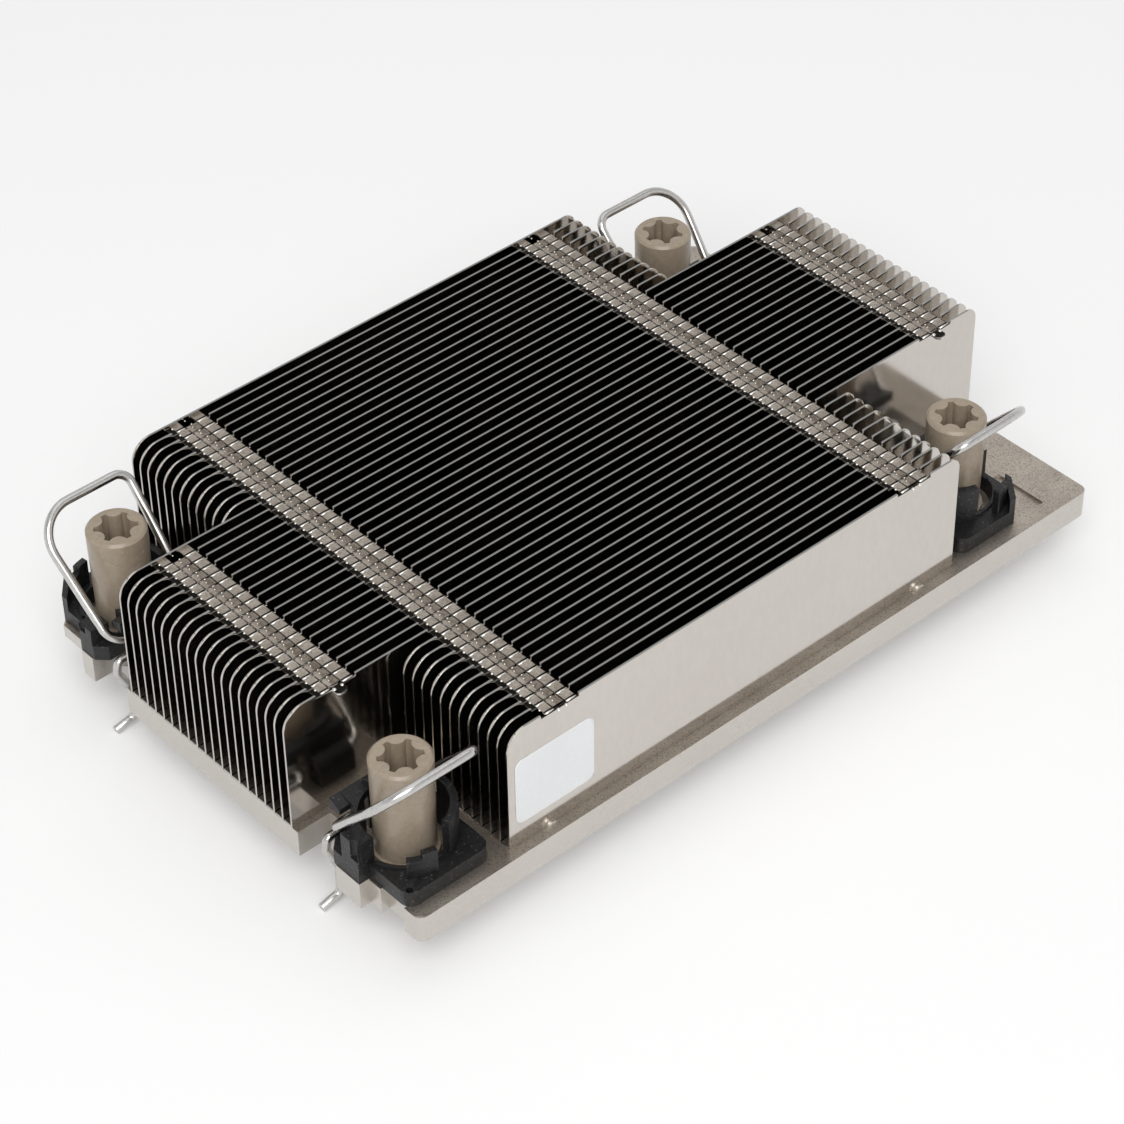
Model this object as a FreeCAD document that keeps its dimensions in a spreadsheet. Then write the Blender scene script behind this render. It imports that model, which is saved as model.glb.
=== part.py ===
import FreeCAD, Part
import Sketcher
import math
import os

# Passive one-unit CPU heatsink: a plated base plate, a stack of folded fins that lock together at the
# top, and at each corner a six-lobe load nut, its plastic holder and the bent wire that latches it.
# X runs along the fins, Y across them, Z up. The origin is the middle of the base plate's underside.

doc = FreeCAD.newDocument("heatsink")
Vector = FreeCAD.Vector

# Driving dimensions, in millimetres and degrees. A reach or an inset counts from the nut's own axis.
SIZES = {
    "nut_spacing_along": 94.0,
    "nut_spacing_across": 56.0,
    "base_left_margin": 8.0,
    "base_right_margin": 16.0,
    "base_side_margin": 10.3,
    "base_thickness": 4.0,
    "base_corner_radius": 1.2,
    "notch_inner_reach": 10.7,
    "notch_outer_reach": 3.4,
    "notch_depth": 5.0,
    "tip_reach": 1.0,
    "step_reach": 3.2,
    "step_setback": 1.4,
    "relief_reach": 7.4,
    "relief_setback": 2.6,
    "shoulder_setback": 1.5,
    "back_tip_inset": 1.1,
    "thin_tab_reach": 4.3,
    "thin_tab_setback": 1.0,
    "thin_tab_thickness": 1.8,
    "thin_tab_length": 3.0,
    "cut_corner_length": 7.5,
    "slot_start": 3.0,
    "slot_length": 6.6,
    "recess_depth": 0.4,
    "recess_width": 8.0,
    "recess_length": 12.0,
    "wall_nub_radius": 0.85,
    "wall_nub_length": 0.6,
    "wall_nub_inset": 6.45,
    "fin_ledge": 1.6,
    "fin_gauge": 0.3,
    "fin_height": 18.5,
    "fin_left_radius": 3.0,
    "fin_right_radius": 1.8,
    "side_fin_clearance": 8.85,
    "side_fin_count": 12,
    "centre_fin_count": 20,
    "fold_gap": 0.1,
    "side_strip_inset": 8.35,
    "end_strip_inset": 8.0,
    "strip_drop": 0.45,
    "strip_relief": 0.15,
    "left_tab_width": 2.1,
    "tongue_gap": 0.15,
    "latch_width": 1.6,
    "latch_gap": 0.1,
    "latch_chamfer": 0.4,
    "right_tab_width": 1.7,
    "nut_height": 19.3,
    "nut_turn": 30.0,
    "nut_shaft_radius": 3.95,
    "nut_foot_radius": 3.8,
    "nut_flange_radius": 4.25,
    "nut_flange_thickness": 1.0,
    "nut_barrel_radius": 3.4,
    "nut_barrel_drop": 1.5,
    "nut_seat_gap": 0.05,
    "nut_edge": 0.35,
    "nut_bore_radius": 1.75,
    "nut_bore_depth": 9.0,
    "socket_radius": 2.85,
    "socket_depth": 4.6,
    "socket_rib_radius": 1.2,
    "socket_rib_circle": 3.2,
    "base_hole_radius": 3.9,
    "wire_radius": 0.6,
    "wire_running_gap": 0.05,
    "wire_lean": 42.0,
    "wire_axis_inset": 6.9,
    "wire_axis_height": 2.1,
    "wire_foot_reach": 8.1,
    "wire_foot_drop": 11.4,
    "wire_foot_rise": 0.7,
    "wire_foot_bend": 1.1,
    "wire_shank": 5.0,
    "wire_shank_length": 4.6,
    "wire_shank_bend": 3.0,
    "wire_elbow": 6.8,
    "wire_elbow_drop": 2.9,
    "wire_elbow_bend": 1.0,
    "wire_knee": 6.5,
    "wire_knee_bend": 0.75,
    "wire_strand": 1.25,
    "wire_return": 2.6,
    "wire_return_bend": 1.1,
    "wire_loop_left": 6.4,
    "wire_leg_bend": 2.8,
    "wire_loop_flare": 1.6,
    "wire_loop_right": 6.4,
    "wire_loop_length": 20.1,
    "wire_loop_big_bend": 5.0,
    "wire_loop_bend": 1.9,
    "wire_end": 0.8,
    "holder_plate": 2.3,
    "holder_left_reach": 6.3,
    "holder_right_reach": 6.5,
    "holder_outer_reach": 8.2,
    "holder_inner_reach": 5.2,
    "holder_foot_reach": 7.9,
    "holder_foot_chamfer": 1.4,
    "holder_corner_radius": 1.6,
    "holder_cut_start": 4.9,
    "holder_cut_end": 3.6,
    "corner_wall_height": 4.3,
    "corner_wall_thickness": 1.1,
    "holder_bore_radius": 5.5,
    "collar_wall": 1.0,
    "collar_height": 7.6,
    "collar_low_height": 4.0,
    "collar_start": -75.0,
    "collar_low_start": 5.0,
    "collar_low_end": 55.0,
    "collar_end": 100.0,
    "rim_wall": 0.45,
    "rim_rise": 0.4,
    "rim_start": 195.0,
    "snap_inner_radius": 6.6,
    "snap_wall": 0.9,
    "snap_start": 232.0,
    "snap_end": 262.0,
    "snap_height": 6.0,
    "snap_fall": 0.9,
    "post_depth": 2.8,
    "post_inner_reach": 2.2,
    "post_width": 3.1,
    "post_height": 6.2,
    "cut_post_inner_reach": 3.6,
    "cut_post_width": 2.6,
    "cut_post_height": 4.6,
    "post_groove_radius": 0.65,
    "post_groove_inset": 0.7,
    "post_groove_foot": 3.4,
    "barrel_radius": 1.9,
    "barrel_start": 1.1,
    "barrel_end": 4.2,
    "guard_inner_reach": 3.5,
    "guard_wall_reach": 5.2,
    "guard_outer_reach": 7.1,
    "guard_low_height": 5.4,
    "guard_front_height": 6.2,
    "guard_height": 6.9,
    "guard_wall_start": 4.0,
    "guard_start": 5.6,
    "pinhole_radius": 0.45,
    "pinhole_inset": 0.8,
    "label_width": 12.4,
    "label_height": 10.2,
    "label_thickness": 0.1,
    "label_corner_radius": 1.2,
    "label_inset": 1.1,
    "label_drop": 4.9,
}

# Places that follow from the driving dimensions
PLACES = {
    "base_length": "=Sizes.base_left_margin + Sizes.nut_spacing_along + Sizes.base_right_margin",
    "base_width": "=Sizes.nut_spacing_across + 2 * Sizes.base_side_margin",
    "base_left": "=-base_length / 2",
    "pattern_centre": "=(Sizes.base_left_margin - Sizes.base_right_margin) / 2",
    "nut_x": "=pattern_centre - Sizes.nut_spacing_along / 2",
    "right_nut_x": "=pattern_centre + Sizes.nut_spacing_along / 2",
    "nut_y": "=-Sizes.nut_spacing_across / 2",
    "fin_count": "=Sizes.centre_fin_count + 2 * Sizes.side_fin_count",
    "fin_pitch": "=(base_width - 2 * Sizes.fin_ledge - Sizes.fin_gauge) / (fin_count - 1)",
    "first_fin": "=Sizes.fin_ledge - base_width / 2",
    "side_fin_left": "=nut_x + Sizes.side_fin_clearance",
    "side_fin_length": "=Sizes.nut_spacing_along - 2 * Sizes.side_fin_clearance",
    "fold_length": "=fin_pitch - Sizes.fin_gauge - Sizes.fold_gap",
    "fold_z": "=Sizes.fin_height - Sizes.strip_drop - Sizes.fin_gauge",
    "latch_reach": "=fin_pitch - Sizes.fin_gauge - Sizes.latch_gap",
    "strip_width": "=Sizes.left_tab_width + Sizes.latch_width + Sizes.right_tab_width + 2 * Sizes.tongue_gap",
    "nut_flange_base": "=Sizes.base_thickness + Sizes.nut_seat_gap",
    "nut_flange_top": "=nut_flange_base + Sizes.nut_flange_thickness",
    "wire_axis_y": "=nut_y + Sizes.wire_axis_inset",
    "wire_axis_z": "=Sizes.base_thickness + Sizes.wire_axis_height",
    "barrel_reach": "=Sizes.wire_axis_inset + Sizes.barrel_radius",
    "label_x": "=side_fin_left + Sizes.label_inset",
    "label_z": "=Sizes.base_thickness + Sizes.fin_height - Sizes.label_drop - Sizes.label_height",
}


def fill_sheet(name, cells):
    """A sheet with one named cell for each entry."""
    sheet = doc.addObject("Spreadsheet::Sheet", name)
    for row, (alias, content) in enumerate(cells.items(), start=1):
        sheet.set("A%d" % row, alias)
        sheet.set("B%d" % row, str(content))
        sheet.setAlias("B%d" % row, alias)
    doc.recompute()
    return sheet


sizes = fill_sheet("Sizes", SIZES)
places = fill_sheet("Places", PLACES)


def size(alias):
    return float(sizes.get(alias))


def place(alias):
    return float(places.get(alias))


def bind(obj, **expressions):
    for prop, expression in expressions.items():
        obj.setExpression(prop.replace("__", "."), expression)


def move_to(obj, at):
    for axis, expression in zip("xyz", at):
        obj.setExpression("Placement.Base." + axis, expression)


def box(name, at, size):
    """A block with its low corner at a place; both are three expressions."""
    obj = doc.addObject("Part::Box", name)
    bind(obj, Length=size[0], Width=size[1], Height=size[2])
    move_to(obj, at)
    return obj


ALONG = {
    "X": FreeCAD.Rotation(Vector(0, 1, 0), 90),
    "Y": FreeCAD.Rotation(Vector(1, 0, 0), -90),
    "Z": FreeCAD.Rotation(),
}


def cylinder(name, at, radius, height, along="Z"):
    obj = doc.addObject("Part::Cylinder", name)
    obj.Placement = FreeCAD.Placement(Vector(), ALONG[along])
    bind(obj, Radius=radius, Height=height)
    move_to(obj, at)
    return obj


def ring_sector(name, at, inner, outer, height, start, sweep):
    """An upright wall curved about a vertical line, from a start angle in degrees."""
    wall = cylinder(name + "_outside", at, outer, height)
    hole = cylinder(name + "_inside", at, inner, height)
    for shell in (wall, hole):
        bind(shell, Angle=sweep, Placement__Rotation__Angle=start)
        shell.Placement = FreeCAD.Placement(shell.Placement.Base, FreeCAD.Rotation(Vector(0, 0, 1), 1))
    return cut(name, wall, [hole])


def fuse(name, shapes):
    obj = doc.addObject("Part::MultiFuse", name)
    obj.Shapes = shapes
    obj.Refine = True
    return obj


def cut(name, base, tools):
    tool = tools[0] if len(tools) == 1 else fuse(name + "_tools", tools)
    obj = doc.addObject("Part::Cut", name)
    obj.Base = base
    obj.Tool = tool
    obj.Refine = True
    return obj


def upright_edges(shape, corners, reach=0.01):
    """Numbers of the straight upright edges that stand at the given x, y corners."""
    found = []
    for number, edge in enumerate(shape.Edges, start=1):
        low, high = edge.BoundBox.ZMin, edge.BoundBox.ZMax
        if edge.BoundBox.XLength > reach or edge.BoundBox.YLength > reach or high - low < reach:
            continue
        centre = edge.CenterOfMass
        if any(math.hypot(centre.x - x, centre.y - y) < reach for x, y in corners):
            found.append(number)
    return found


def edges_across(shape):
    """The straight edges that run along Y, by number."""
    return {number: edge for number, edge in enumerate(shape.Edges, start=1)
            if edge.BoundBox.YLength > edge.BoundBox.XLength + edge.BoundBox.ZLength}


def round_edges(name, base, radii):
    """Rounds the numbered edges, each to its own radius."""
    obj = doc.addObject("Part::Fillet", name)
    obj.Base = base
    obj.Edges = [(number, radius, radius) for number, radius in radii.items()]
    return obj


ACROSS = {"Z": FreeCAD.Rotation(), "X": FreeCAD.Rotation(Vector(1, 1, 1), 120)}


def profile(name, corners, at, depth, along="Z"):
    """A prism on a closed outline, whose corners are pairs of expressions counted from a place.
    The outline lies in X, Y for a prism along Z, and in Y, Z for one along X."""
    sketch = doc.addObject("Sketcher::SketchObject", name + "_outline")
    sketch.Placement = FreeCAD.Placement(Vector(), ACROSS[along])
    move_to(sketch, at)
    points = [Vector(*(float(sketch.evalExpression(value)) for value in corner), 0) for corner in corners]
    for start, end in zip(points, points[1:] + points[:1]):
        sketch.addGeometry(Part.LineSegment(start, end))
    for line, corner in enumerate(corners):
        sketch.addConstraint(Sketcher.Constraint("Coincident", line, 2, (line + 1) % len(corners), 1))
        for kind, value, expression in zip(("DistanceX", "DistanceY"), points[line], corner):
            number = sketch.addConstraint(Sketcher.Constraint(kind, -1, 1, line, 1, value))
            sketch.setExpression("Constraints[%d]" % number, expression)
    prism = doc.addObject("Part::Extrusion", name)
    prism.Base = sketch
    prism.DirMode = "Normal"
    prism.Solid = True
    bind(prism, LengthFwd=depth)
    return prism


nodes = []


def node(obj, label):
    """Marks an object as a finished piece; its label names its file."""
    obj.Label = label
    nodes.append(obj)
    return obj


def instance(master, label):
    """One more piece of the same form, which gets a place of its own."""
    obj = doc.addObject("Part::Compound", label)
    obj.Links = [master]
    return node(obj, label)


def mirror(source, name, normal, at=None):
    obj = doc.addObject("Part::Mirroring", name)
    obj.Source = source
    obj.Normal = normal
    if at:
        obj.setExpression("Base.x", at)
    return obj


def mirrored(source, label, normal, at=None):
    return node(mirror(source, label, normal, at), label)


# Base plate: a milled slab. Its left end has a tongue between two notches, a stepped tab at the
# front corner, and at the back corner a thinner tab where the corner is cut off.
def base_plate():
    def left_end(side, steps):
        """Corners along the left end, from setbacks and reaches past the nut's axis."""
        return [("Places.base_left + " + setback, "%s(Sizes.nut_spacing_across / 2 + %s)" % (side, reach))
                for setback, reach in steps]

    notch = [("0", "-Sizes.notch_inner_reach"),
             ("Sizes.notch_depth", "-Sizes.notch_inner_reach"),
             ("Sizes.notch_depth", "-Sizes.notch_outer_reach"),
             ("0", "-Sizes.notch_outer_reach")]
    front_end = left_end("-", notch + [
        ("0", "Sizes.tip_reach"),
        ("Sizes.step_setback", "Sizes.tip_reach"),
        ("Sizes.step_setback", "Sizes.step_reach"),
        ("Sizes.relief_setback", "Sizes.step_reach"),
        ("Sizes.relief_setback", "Sizes.relief_reach"),
        ("Sizes.shoulder_setback", "Sizes.relief_reach"),
        ("Sizes.shoulder_setback", "Sizes.base_side_margin"),
    ])
    back_end = left_end("", notch + [
        ("0", "-Sizes.back_tip_inset"),
        ("Sizes.thin_tab_setback", "-Sizes.back_tip_inset"),
        ("Sizes.thin_tab_setback", "Sizes.thin_tab_reach"),
        ("Sizes.cut_corner_length", "Sizes.base_side_margin"),
    ])
    right_end = [("-Places.base_left", "-Places.base_width / 2"), ("-Places.base_left", "Places.base_width / 2")]
    slab = profile("base_slab", front_end + right_end + back_end[::-1], ("0", "0", "0"),
                   "Sizes.base_thickness")
    nub_y = "Places.first_fin - Sizes.wall_nub_length"
    nubs = [cylinder("wall_nub_" + end, (x, nub_y, "Sizes.base_thickness"),
                     "Sizes.wall_nub_radius", "Sizes.wall_nub_length", along="Y")
            for end, x in (("left", "Places.side_fin_left + Sizes.wall_nub_inset"),
                           ("right", "Places.side_fin_left + Places.side_fin_length - Sizes.wall_nub_inset"))]

    through = "Sizes.base_thickness + 2"
    tools = [box("thin_tab_relief",
                 ("Places.base_left - 1", "-Places.nut_y - Sizes.back_tip_inset", "-1"),
                 ("Sizes.thin_tab_length + 1", "Sizes.back_tip_inset + Sizes.base_side_margin + 1",
                  "Sizes.base_thickness - Sizes.thin_tab_thickness + 1"))]
    # The right-hand wires pass through a slot, with a shallow clearance milled beside it
    slot_width = "Sizes.notch_inner_reach - Sizes.notch_outer_reach"
    for side, slot_y, recess_y, nut_y in (
            ("front", "Places.nut_y + Sizes.notch_outer_reach", "Places.nut_y - Sizes.recess_width",
             "Places.nut_y"),
            ("back", "-Places.nut_y - Sizes.notch_inner_reach", "-Places.nut_y", "-Places.nut_y")):
        tools.append(box("slot_" + side, ("Places.right_nut_x + Sizes.slot_start", slot_y, "-1"),
                         ("Sizes.slot_length", slot_width, through)))
        recess_x = "Places.right_nut_x + Sizes.slot_start + Sizes.slot_length - Sizes.recess_length"
        tools.append(box("recess_" + side, (recess_x, recess_y, "Sizes.base_thickness - Sizes.recess_depth"),
                         ("Sizes.recess_length", "Sizes.recess_width", "Sizes.recess_depth + 1")))
        for end, x in (("left", "Places.nut_x"), ("right", "Places.right_nut_x")):
            tools.append(cylinder("nut_hole_%s_%s" % (end, side), (x, nut_y, "-1"),
                                  "Sizes.base_hole_radius", through))
    milled = cut("base_milled", fuse("base_blank", [slab] + nubs), tools)
    doc.recompute()

    left, right = place("base_left"), -place("base_left")
    side = place("base_width") / 2
    corners = [(left + size("shoulder_setback"), -side), (right, -side), (right, side)]
    edges = upright_edges(milled.Shape, corners)
    radius = size("base_corner_radius")
    node(round_edges("base", milled, dict.fromkeys(edges, radius)), "base_plate")


# Fins: each is one folded sheet. Its foot and its top tabs fold towards the next fin. At each tab
# strip the wall is lower, and a latch tongue reaches back over the gap in the strip of the fin before.
def fin(name, length, left, strips, foot=None):
    plate = box(name + "_plate", (left, "0", "0"), (length, "Sizes.fin_gauge", "Sizes.fin_height"))
    doc.recompute()
    middle = plate.Shape.CenterOfMass
    radii = {}
    for number, edge in edges_across(plate.Shape).items():
        if edge.CenterOfMass.z > middle.z:
            radii[number] = size("fin_left_radius" if edge.CenterOfMass.x < middle.x else "fin_right_radius")
    rounded = round_edges(name + "_rounded", plate, radii)
    if not strips:
        return rounded

    dips, pieces = [], []
    if foot:
        pieces.append(box(name + "_foot", (foot[0], "Sizes.fin_gauge", "0"),
                          (foot[1], "Places.fold_length", "Sizes.fin_gauge")))
    for label, centre in strips:
        start = "%s - Places.strip_width / 2" % centre
        latch = start + " + Sizes.left_tab_width + Sizes.tongue_gap"
        right_tab = latch + " + Sizes.latch_width + Sizes.tongue_gap"
        dips.append(box("%s_%s_dip" % (name, label),
                        (start + " - Sizes.strip_relief", "-1", "Sizes.fin_height - Sizes.strip_drop"),
                        ("Places.strip_width + 2 * Sizes.strip_relief", "Sizes.fin_gauge + 2",
                         "Sizes.strip_drop + 1")))
        for tab, x, width in (("left_tab", start, "Sizes.left_tab_width"),
                              ("right_tab", right_tab, "Sizes.right_tab_width")):
            pieces.append(box("%s_%s_%s" % (name, label, tab), (x, "Sizes.fin_gauge", "Places.fold_z"),
                              (width, "Places.fold_length", "Sizes.fin_gauge")))
        pieces.append(profile("%s_%s_latch" % (name, label), [
            ("0", "Sizes.fin_gauge"),
            ("0", "Sizes.latch_chamfer - Places.latch_reach"),
            ("Sizes.latch_chamfer", "-Places.latch_reach"),
            ("Sizes.latch_width - Sizes.latch_chamfer", "-Places.latch_reach"),
            ("Sizes.latch_width", "Sizes.latch_chamfer - Places.latch_reach"),
            ("Sizes.latch_width", "Sizes.fin_gauge"),
        ], (latch, "0", "Places.fold_z"), "Sizes.fin_gauge"))
    return fuse(name, [cut(name + "_wall", rounded, dips)] + pieces)


def fin_stack():
    side_left, side_length = "Places.side_fin_left", "Places.side_fin_length"
    full_left, full_length = "Places.base_left", "Places.base_length"
    inner = [("side_left", "Places.side_fin_left + Sizes.side_strip_inset"),
             ("side_right", "Places.side_fin_left + Places.side_fin_length - Sizes.side_strip_inset")]
    outer = [("end_left", "Places.base_left + Sizes.end_strip_inset"),
             ("end_right", "-Places.base_left - Sizes.end_strip_inset")]
    side = fin("side_fin", side_length, side_left, inner, (side_left, side_length))
    side_last = fin("side_last_fin", side_length, side_left, [])
    centre = fin("centre_fin", full_length, full_left, inner + outer, (full_left, full_length))
    centre_last = fin("centre_last_fin", full_length, full_left, inner, (side_left, side_length))

    count = int(place("fin_count"))
    side_count = int(size("side_fin_count"))
    last_centre = count - side_count - 1
    for index in range(count):
        if index == count - 1:
            master = side_last
        elif index == last_centre:
            master = centre_last
        elif side_count <= index < last_centre:
            master = centre
        else:
            master = side
        piece = instance(master, "fin_%02d" % (index + 1))
        move_to(piece, ("0", "Places.first_fin + %d * Places.fin_pitch" % index, "Sizes.base_thickness"))


# Load nut: a moulded captive nut, driven by a six-lobe socket in its top
def load_nut():
    here = ("0", "0")
    shaft = doc.addObject("Part::Cone", "nut_shaft")
    bind(shaft, Radius1="Sizes.nut_foot_radius", Radius2="Sizes.nut_shaft_radius",
         Height="Sizes.nut_height - Places.nut_flange_top - Sizes.nut_edge")
    move_to(shaft, here + ("Places.nut_flange_top",))
    crown = doc.addObject("Part::Cone", "nut_crown")
    bind(crown, Radius1="Sizes.nut_shaft_radius", Radius2="Sizes.nut_shaft_radius - Sizes.nut_edge",
         Height="Sizes.nut_edge")
    move_to(crown, here + ("Sizes.nut_height - Sizes.nut_edge",))
    flange = cylinder("nut_flange", here + ("Places.nut_flange_base",),
                      "Sizes.nut_flange_radius", "Sizes.nut_flange_thickness")
    barrel = cylinder("nut_barrel", here + ("-Sizes.nut_barrel_drop",), "Sizes.nut_barrel_radius",
                      "Places.nut_flange_base + Sizes.nut_barrel_drop")
    solid = fuse("nut_solid", [shaft, crown, flange, barrel])

    void = cylinder("socket_void", here + ("Sizes.nut_height - Sizes.socket_depth",),
                    "Sizes.socket_radius", "Sizes.socket_depth + 1")
    ribs = []
    for number in range(6):
        angle = "%d" % (30 + 60 * number)
        at = ("Sizes.socket_rib_circle * cos(%s)" % angle, "Sizes.socket_rib_circle * sin(%s)" % angle,
              "Sizes.nut_height - Sizes.socket_depth - 1")
        ribs.append(cylinder("socket_rib_%d" % (number + 1), at, "Sizes.socket_rib_radius",
                             "Sizes.socket_depth + 3"))
    socket = cut("socket", void, ribs)
    bore = cylinder("nut_bore", here + ("-Sizes.nut_barrel_drop - 1",), "Sizes.nut_bore_radius",
                    "Sizes.nut_bore_depth + 1")
    return cut("load_nut", solid, [socket, bore])


# Holder: a moulded plate round the nut, with a broken collar, a snap tab, a post that the wire leans
# on and a guarded barrel in which the wire turns. It is built for the corner at low X and low Y. Two
# of the four have a pinhole in the outer corner, and two have that corner cut off behind a low wall.
def nut_holder(name, cut_corner):
    floor = "Sizes.base_thickness"

    def from_nut(dx, dy, z=floor):
        return ("Places.nut_x + (%s)" % dx, "Places.nut_y + (%s)" % dy, z)

    at_nut = from_nut("0", "0")
    inner, outer, foot = "Sizes.holder_inner_reach", "-Sizes.holder_outer_reach", "-Sizes.holder_foot_reach"
    post = "Sizes.cut_post_" if cut_corner else "Sizes.post_"
    post_side = "%sinner_reach - %swidth" % (post, post)
    corner = [("-Sizes.holder_left_reach", outer)]
    if cut_corner:
        corner = [("-Sizes.holder_left_reach", "-Sizes.holder_cut_start"), ("-Sizes.holder_cut_end", outer)]
    plate = profile(name + "_blank", corner + [
        ("Sizes.holder_right_reach", outer),
        ("Sizes.holder_right_reach", inner),
        ("Sizes.holder_foot_chamfer - Sizes.holder_foot_reach", inner),
        (foot, inner + " - Sizes.holder_foot_chamfer"),
        (foot, post_side),
        ("-Sizes.holder_left_reach", post_side),
    ], at_nut, "Sizes.holder_plate")
    doc.recompute()
    low_x = place("nut_x") - size("holder_left_reach")
    high_x = place("nut_x") + size("holder_right_reach")
    low_y = place("nut_y") - size("holder_outer_reach")
    rounded = upright_edges(plate.Shape, [(low_x, low_y), (high_x, low_y)])
    plate = round_edges(name + "_plate", plate, dict.fromkeys(rounded, size("holder_corner_radius")))

    def wall(part, inside, outside, height, start, end):
        return ring_sector("%s_%s" % (name, part), at_nut, inside, outside, height, start,
                           "%s - (%s)" % (end, start))

    bore, collar_outer = "Sizes.holder_bore_radius", "Sizes.holder_bore_radius + Sizes.collar_wall"
    snap_outer = "Sizes.snap_inner_radius + Sizes.snap_wall"
    snap_middle = "(Sizes.snap_start + Sizes.snap_end) / 2"
    solids = [
        plate,
        wall("collar_right", bore, collar_outer, "Sizes.collar_height",
             "Sizes.collar_start", "Sizes.collar_low_start"),
        wall("collar_low", bore, collar_outer, "Sizes.collar_low_height",
             "Sizes.collar_low_start", "Sizes.collar_low_end"),
        wall("collar_inner", bore, collar_outer, "Sizes.collar_height",
             "Sizes.collar_low_end", "Sizes.collar_end"),
        wall("rim", bore, bore + " + Sizes.rim_wall", "Sizes.holder_plate + Sizes.rim_rise",
             "Sizes.rim_start", "Sizes.collar_start + 360"),
        wall("snap_low", "Sizes.snap_inner_radius", snap_outer, "Sizes.snap_height - Sizes.snap_fall",
             "Sizes.snap_start", snap_middle),
        wall("snap_high", "Sizes.snap_inner_radius", snap_outer, "Sizes.snap_height",
             snap_middle, "Sizes.snap_end"),
        box(name + "_post", from_nut("-Sizes.holder_foot_reach", post_side),
            ("Sizes.post_depth", post + "width", post + "height")),
    ]

    # The barrel and the guard over it, as outlines across the wire's axis, counted from the nut
    guard_top = [
        ("Sizes.guard_outer_reach", "Sizes.guard_height"),
        ("Sizes.guard_inner_reach", "Sizes.guard_front_height"),
    ]
    barrel_side = [("Sizes.guard_inner_reach", "0"), ("Places.barrel_reach", "0"),
                   ("Places.barrel_reach", "Sizes.wire_axis_height"),
                   ("Sizes.guard_outer_reach", "Sizes.wire_axis_height + Sizes.barrel_radius")]
    wall_side = [("Sizes.guard_inner_reach", "0"), ("Sizes.guard_wall_reach", "0"),
                 ("Sizes.guard_wall_reach", "Sizes.guard_low_height"),
                 ("Sizes.guard_outer_reach", "Sizes.guard_low_height")]
    hood_side = [("Sizes.guard_wall_reach", "Sizes.guard_low_height"),
                 ("Sizes.guard_outer_reach", "Sizes.guard_low_height")]
    hood_top = guard_top[:1] + [("Sizes.guard_wall_reach", "Sizes.guard_front_height")]
    for part, side, start, end in (
            ("barrel_block", barrel_side + guard_top, "-Sizes.barrel_start", "Sizes.barrel_end"),
            ("guard_wall", wall_side + guard_top, "-Sizes.guard_wall_start", "-Sizes.barrel_start"),
            ("guard_hood", hood_side + hood_top, "-Sizes.guard_start", "-Sizes.guard_wall_start")):
        solids.append(profile("%s_%s" % (name, part), side, from_nut(start, "0"),
                              "%s - (%s)" % (end, start), along="X"))
    solids.append(cylinder(name + "_barrel",
                           from_nut("-Sizes.barrel_start", "Sizes.wire_axis_inset", "Places.wire_axis_z"),
                           "Sizes.barrel_radius", "Sizes.barrel_start + Sizes.barrel_end", along="X"))

    groove_y = "%s + Sizes.post_groove_inset" % post_side
    tools = [
        cylinder(name + "_bore", from_nut("0", "0", floor + " - 1"), bore, "Sizes.collar_height + 2"),
        cylinder(name + "_post_groove",
                 from_nut("-Sizes.holder_foot_reach", groove_y, floor + " + Sizes.post_groove_foot"),
                 "Sizes.post_groove_radius", "Sizes.post_height"),
        cylinder(name + "_wire_bore",
                 from_nut("-Sizes.barrel_start - 1", "Sizes.wire_axis_inset", "Places.wire_axis_z"),
                 "Sizes.wire_radius + Sizes.wire_running_gap",
                 "Sizes.barrel_start + Sizes.barrel_end + 2", along="X"),
    ]
    if cut_corner:
        solids.append(profile(name + "_corner_wall", [
            ("-Sizes.holder_left_reach", "-Sizes.holder_cut_start"),
            ("-Sizes.holder_cut_end", outer),
            ("Sizes.corner_wall_thickness - Sizes.holder_cut_end", outer),
            ("-Sizes.holder_left_reach", "Sizes.corner_wall_thickness - Sizes.holder_cut_start"),
        ], at_nut, "Sizes.corner_wall_height"))
    else:
        tools.append(cylinder(name + "_pinhole",
                              from_nut("Sizes.pinhole_inset - Sizes.holder_left_reach",
                                       "Sizes.pinhole_inset - Sizes.holder_outer_reach", floor + " - 1"),
                              "Sizes.pinhole_radius", "Sizes.holder_plate + 2"))
    return cut(name, fuse(name + "_solid", solids), tools)


# Latch wire: one length of spring steel. From its foot it rises through the notch, turns back on
# itself beside the barrel, runs round the loop above the nut and ends inside the barrel.
def rounded_path(stops):
    """A wire of straight runs joined by tangent arcs; each stop is a point and its corner radius."""
    edges = []
    start = stops[0][0]
    for before, (corner, radius), after in zip(stops, stops[1:], stops[2:]):
        onward = (after[0] - corner).normalize()
        back = (before[0] - corner).normalize()
        half_turn = back.getAngle(onward) / 2
        trim = radius / math.tan(half_turn)
        middle = (back + onward).normalize()
        arc_mid = corner + middle * (radius / math.sin(half_turn) - radius)
        arc_end = corner + onward * trim
        edges.append(Part.LineSegment(start, corner + back * trim).toShape())
        edges.append(Part.Arc(corner + back * trim, arc_mid, arc_end).toShape())
        start = arc_end
    edges.append(Part.LineSegment(start, stops[-1][0]).toShape())
    return Part.Wire(edges)


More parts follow.
